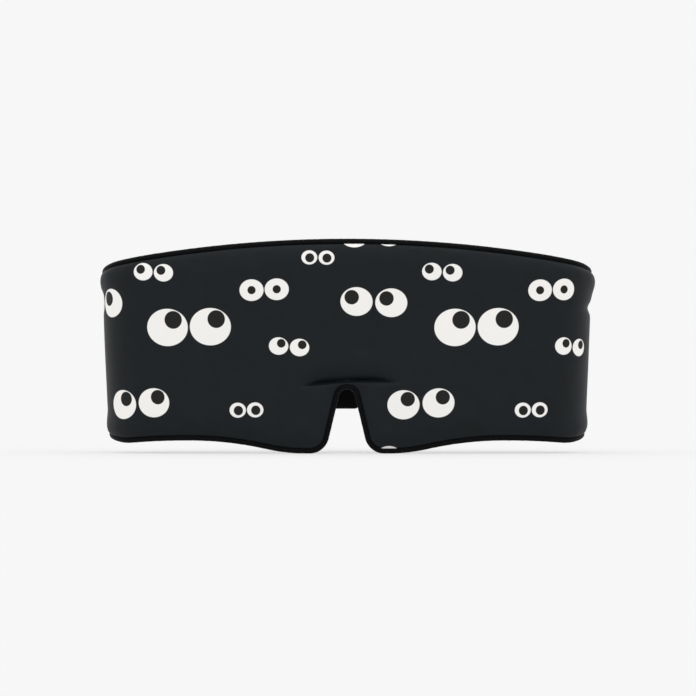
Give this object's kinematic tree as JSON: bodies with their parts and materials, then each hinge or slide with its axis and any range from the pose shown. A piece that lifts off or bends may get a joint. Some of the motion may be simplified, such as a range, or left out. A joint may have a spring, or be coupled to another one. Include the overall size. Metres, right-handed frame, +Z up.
{
  "type": "sleep mask",
  "caption": "Padded wrap-round satin eye mask: curved top edge, nose notch, piped edges, closed as a loop by a hook-and-loop tab behind the head.",
  "frame": {"origin": "centre of the closed loop in plan, midway between its two folds and between its front and back, at the height of the two cheek lobes' under edge", "axes": "+Z up as worn, -Y out of the printed front, away from the face, +X towards the wearer's left fold"},
  "size_m": [0.24, 0.064, 0.1036],
  "materials": {
    "printed_satin": "satin weave, near-black ground with a printed repeat of plain eye pairs, soft sheen",
    "plain_satin": "plain near-black satin, soft sheen",
    "piping_satin": "near-black satin bias strip, soft sheen",
    "wadding": "matt bonded polyester fibre",
    "blackout_cloth": "matt close-woven light-proof cloth",
    "cotton_cord": "matt twisted cotton",
    "stiffener": "matt pressed felt",
    "hook_tape": "woven nylon tape with moulded hooks",
    "loop_tape": "woven nylon tape with a brushed loop pile",
    "label_tape": "plain folded satin ribbon, blank"
  },
  "bodies": {
    "front": {"front_cover": "printed_satin", "front_wadding": "wadding", "front_blackout_interlining": "blackout_cloth", "front_lining": "plain_satin", "front_top_piping": "piping_satin", "front_top_filler_cord": "cotton_cord", "front_bottom_piping": "piping_satin", "front_bottom_filler_cord": "cotton_cord"},
    "left_temple": {"left_temple_cover": "printed_satin", "left_temple_wadding": "wadding", "left_temple_lining": "plain_satin", "left_temple_top_piping": "piping_satin", "left_temple_top_filler_cord": "cotton_cord", "left_temple_bottom_piping": "piping_satin", "left_temple_bottom_filler_cord": "cotton_cord"},
    "right_temple": {"right_temple_cover": "printed_satin", "right_temple_wadding": "wadding", "right_temple_lining": "plain_satin", "right_temple_top_piping": "piping_satin", "right_temple_top_filler_cord": "cotton_cord", "right_temple_bottom_piping": "piping_satin", "right_temple_bottom_filler_cord": "cotton_cord"},
    "left_band": {"left_band_cover": "printed_satin", "left_band_wadding": "wadding", "left_band_lining": "plain_satin", "left_band_top_piping": "piping_satin", "left_band_top_filler_cord": "cotton_cord", "left_band_bottom_piping": "piping_satin", "left_band_bottom_filler_cord": "cotton_cord", "care_label": "label_tape"},
    "right_band": {"right_band_cover": "printed_satin", "right_band_wadding": "wadding", "right_band_lining": "plain_satin", "right_band_top_piping": "piping_satin", "right_band_top_filler_cord": "cotton_cord", "right_band_bottom_piping": "piping_satin", "right_band_bottom_filler_cord": "cotton_cord", "loop_tape": "loop_tape"},
    "closure_tab": {"tab_cover": "printed_satin", "tab_stiffener": "stiffener", "tab_lining": "plain_satin", "hook_tape": "hook_tape"}
  },
  "joints": [
    {"name": "left_temple_fold", "type": "hinge", "parent": "front", "child": "left_temple", "pos_m": [0.11268, -0.01768, 0.05], "axis": [0, 0, -1], "range_deg": [0, 80]},
    {"name": "left_band_fold", "type": "hinge", "parent": "left_temple", "child": "left_band", "pos_m": [0.11268, 0.01768, 0.05], "axis": [0, 0, -1], "range_deg": [0, 80]},
    {"name": "right_temple_fold", "type": "hinge", "parent": "front", "child": "right_temple", "pos_m": [-0.11268, -0.01768, 0.05], "axis": [0, 0, 1], "range_deg": [0, 80]},
    {"name": "right_band_fold", "type": "hinge", "parent": "right_temple", "child": "right_band", "pos_m": [-0.11268, 0.01768, 0.05], "axis": [0, 0, 1], "range_deg": [0, 80]},
    {"name": "tab_peel", "type": "hinge", "parent": "left_band", "child": "closure_tab", "pos_m": [0.00585, 0.03199, 0.05], "axis": [0, 0, -1], "range_deg": [0, 150]}
  ],
  "couplings": [
    {"joint": "left_band_fold", "follows": "left_temple_fold", "ratio": 1},
    {"joint": "right_temple_fold", "follows": "left_temple_fold", "ratio": 1},
    {"joint": "right_band_fold", "follows": "left_temple_fold", "ratio": 1}
  ]
}
